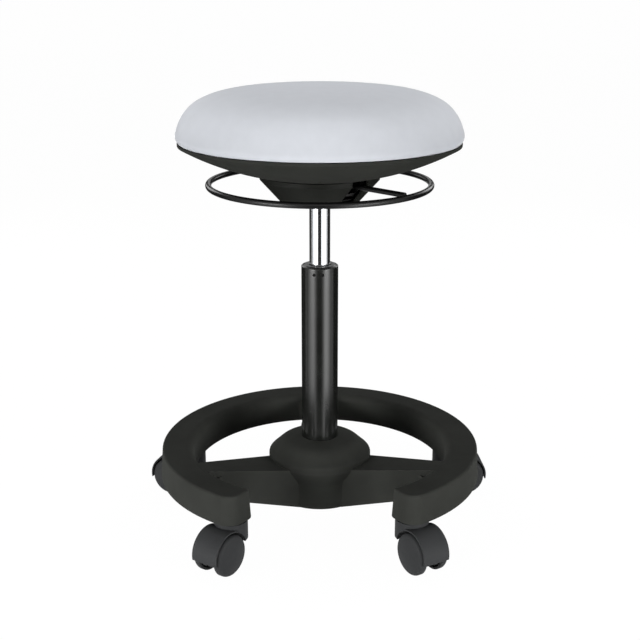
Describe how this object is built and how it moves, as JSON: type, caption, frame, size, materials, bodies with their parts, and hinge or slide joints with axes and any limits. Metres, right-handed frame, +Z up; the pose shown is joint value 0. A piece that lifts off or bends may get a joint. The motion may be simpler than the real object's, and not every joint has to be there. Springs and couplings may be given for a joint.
{
  "type": "office stool",
  "caption": "Round padded swivel stool on a gas-lift column, with a full release ring under the seat and a C-shaped moulded base on twin-wheel castors.",
  "frame": {"origin": "on the floor, on the axis of the column", "axes": "+Z up along the column, -Y towards the open side of the foot ring, which faces the viewer"},
  "size_m": [0.4933, 0.4727, 0.5988],
  "materials": {
    "base_plastic": "satin",
    "castor_plastic": "matte",
    "wheel_plastic": "matte",
    "bright_steel": "satin",
    "column_paint": "gloss",
    "bush_plastic": "satin",
    "rod_steel": "polished",
    "black_rubber": "matte",
    "tube_chrome": "polished",
    "pressed_steel": "satin",
    "ring_paint": "satin",
    "cup_plastic": "satin",
    "shell_plastic": "matte",
    "plated_fasteners": "satin",
    "plywood": "matte",
    "foam": "matte",
    "seat_fabric": "matte"
  },
  "bodies": {
    "base": {"base_frame": "base_plastic", "castor_stems": "bright_steel", "stem_grip_rings": "bright_steel", "column_tube": "column_paint", "guide_bush": "bush_plastic", "column_foot_plate": "bright_steel", "bearing_lower_race": "bright_steel", "bearing_balls": "bright_steel", "bearing_cage": "bush_plastic"},
    "gas_piston": {"piston_rod": "rod_steel", "piston": "rod_steel", "piston_seal": "black_rubber", "bearing_upper_race": "bright_steel", "retaining_clip": "bright_steel", "rubber_bumper": "black_rubber"},
    "seat": {"pressure_tube": "tube_chrome", "rod_gland": "rod_steel", "valve_body": "rod_steel", "seat_pan": "pressed_steel", "taper_socket": "pressed_steel", "release_pivot_pin": "bright_steel", "mechanism_cup": "cup_plastic", "cup_screws": "plated_fasteners", "seat_board": "plywood", "tee_nuts": "plated_fasteners", "pan_bolts": "plated_fasteners", "seat_shell": "shell_plastic", "shell_screws": "plated_fasteners", "seat_foam": "foam", "seat_cover": "seat_fabric"},
    "release": {"release_ring": "ring_paint", "release_arms": "ring_paint", "release_yoke": "pressed_steel"},
    "valve_pin": {"valve_pin": "bright_steel"},
    "right_castor": {"right_castor_hood": "castor_plastic", "right_castor_axle": "bright_steel"},
    "right_wheel_a": {"right_castor_wheel_a": "wheel_plastic"},
    "right_wheel_b": {"right_castor_wheel_b": "wheel_plastic"},
    "rear_castor": {"rear_castor_hood": "castor_plastic", "rear_castor_axle": "bright_steel"},
    "rear_wheel_a": {"rear_castor_wheel_a": "wheel_plastic"},
    "rear_wheel_b": {"rear_castor_wheel_b": "wheel_plastic"},
    "left_castor": {"left_castor_hood": "castor_plastic", "left_castor_axle": "bright_steel"},
    "left_wheel_a": {"left_castor_wheel_a": "wheel_plastic"},
    "left_wheel_b": {"left_castor_wheel_b": "wheel_plastic"},
    "front_left_castor": {"front_left_castor_hood": "castor_plastic", "front_left_castor_axle": "bright_steel"},
    "front_left_wheel_a": {"front_left_castor_wheel_a": "wheel_plastic"},
    "front_left_wheel_b": {"front_left_castor_wheel_b": "wheel_plastic"},
    "front_right_castor": {"front_right_castor_hood": "castor_plastic", "front_right_castor_axle": "bright_steel"},
    "front_right_wheel_a": {"front_right_castor_wheel_a": "wheel_plastic"},
    "front_right_wheel_b": {"front_right_castor_wheel_b": "wheel_plastic"}
  },
  "joints": [
    {"name": "seat_swivel", "type": "hinge", "parent": "base", "child": "gas_piston", "pos_m": [0, 0, 0.0341], "axis": [0, 0, 1], "continuous": true},
    {"name": "seat_lift", "type": "slide", "parent": "gas_piston", "child": "seat", "axis": [0, 0, 1], "range_m": [-0.08, 0.115]},
    {"name": "ring_tilt", "type": "hinge", "parent": "seat", "child": "release", "pos_m": [0.02828, -0.02828, 0.4759], "axis": [-0.7071, -0.7071, 0], "range_deg": [0, 4.8], "stiffness_Nm_per_rad": 10, "springref_deg": -11.46},
    {"name": "valve_press", "type": "slide", "parent": "seat", "child": "valve_pin", "axis": [0, 0, 1], "range_m": [-0.0035, 0]},
    {"name": "right_swivel", "type": "hinge", "parent": "base", "child": "right_castor", "pos_m": [0.18955, 0.06159, 0.056], "axis": [0, 0, 1], "continuous": true},
    {"name": "right_wheel_a_spin", "type": "hinge", "parent": "right_castor", "child": "right_wheel_a", "pos_m": [0.21351, 0.06284, 0.0275], "axis": [-0.0523, 0.9986, 0], "continuous": true},
    {"name": "right_wheel_b_spin", "type": "hinge", "parent": "right_castor", "child": "right_wheel_b", "pos_m": [0.21351, 0.06284, 0.0275], "axis": [-0.0523, 0.9986, 0], "continuous": true},
    {"name": "rear_swivel", "type": "hinge", "parent": "base", "child": "rear_castor", "pos_m": [0, 0.1993, 0.056], "axis": [0, 0, 1], "continuous": true},
    {"name": "rear_wheel_a_spin", "type": "hinge", "parent": "rear_castor", "child": "rear_wheel_a", "pos_m": [0, 0.2233, 0.0275], "axis": [-1, 0, 0], "continuous": true},
    {"name": "rear_wheel_b_spin", "type": "hinge", "parent": "rear_castor", "child": "rear_wheel_b", "pos_m": [0, 0.2233, 0.0275], "axis": [-1, 0, 0], "continuous": true},
    {"name": "left_swivel", "type": "hinge", "parent": "base", "child": "left_castor", "pos_m": [-0.18955, 0.06159, 0.056], "axis": [0, 0, 1], "continuous": true},
    {"name": "left_wheel_a_spin", "type": "hinge", "parent": "left_castor", "child": "left_wheel_a", "pos_m": [-0.21237, 0.069, 0.0275], "axis": [-0.309, -0.9511, 0], "continuous": true},
    {"name": "left_wheel_b_spin", "type": "hinge", "parent": "left_castor", "child": "left_wheel_b", "pos_m": [-0.21237, 0.069, 0.0275], "axis": [-0.309, -0.9511, 0], "continuous": true},
    {"name": "front_left_swivel", "type": "hinge", "parent": "base", "child": "front_left_castor", "pos_m": [-0.11715, -0.16124, 0.056], "axis": [0, 0, 1], "continuous": true},
    {"name": "front_left_wheel_a_spin", "type": "hinge", "parent": "front_left_castor", "child": "front_left_wheel_a", "pos_m": [-0.13125, -0.18065, 0.0275], "axis": [0.809, -0.5878, 0], "continuous": true},
    {"name": "front_left_wheel_b_spin", "type": "hinge", "parent": "front_left_castor", "child": "front_left_wheel_b", "pos_m": [-0.13125, -0.18065, 0.0275], "axis": [0.809, -0.5878, 0], "continuous": true},
    {"name": "front_right_swivel", "type": "hinge", "parent": "base", "child": "front_right_castor", "pos_m": [0.11715, -0.16124, 0.056], "axis": [0, 0, 1], "continuous": true},
    {"name": "front_right_wheel_a_spin", "type": "hinge", "parent": "front_right_castor", "child": "front_right_wheel_a", "pos_m": [0.12951, -0.18181, 0.0275], "axis": [0.8572, 0.515, 0], "continuous": true},
    {"name": "front_right_wheel_b_spin", "type": "hinge", "parent": "front_right_castor", "child": "front_right_wheel_b", "pos_m": [0.12951, -0.18181, 0.0275], "axis": [0.8572, 0.515, 0], "continuous": true}
  ],
  "couplings": [
    {"joint": "valve_press", "follows": "ring_tilt", "m_per_rad": -0.04}
  ]
}
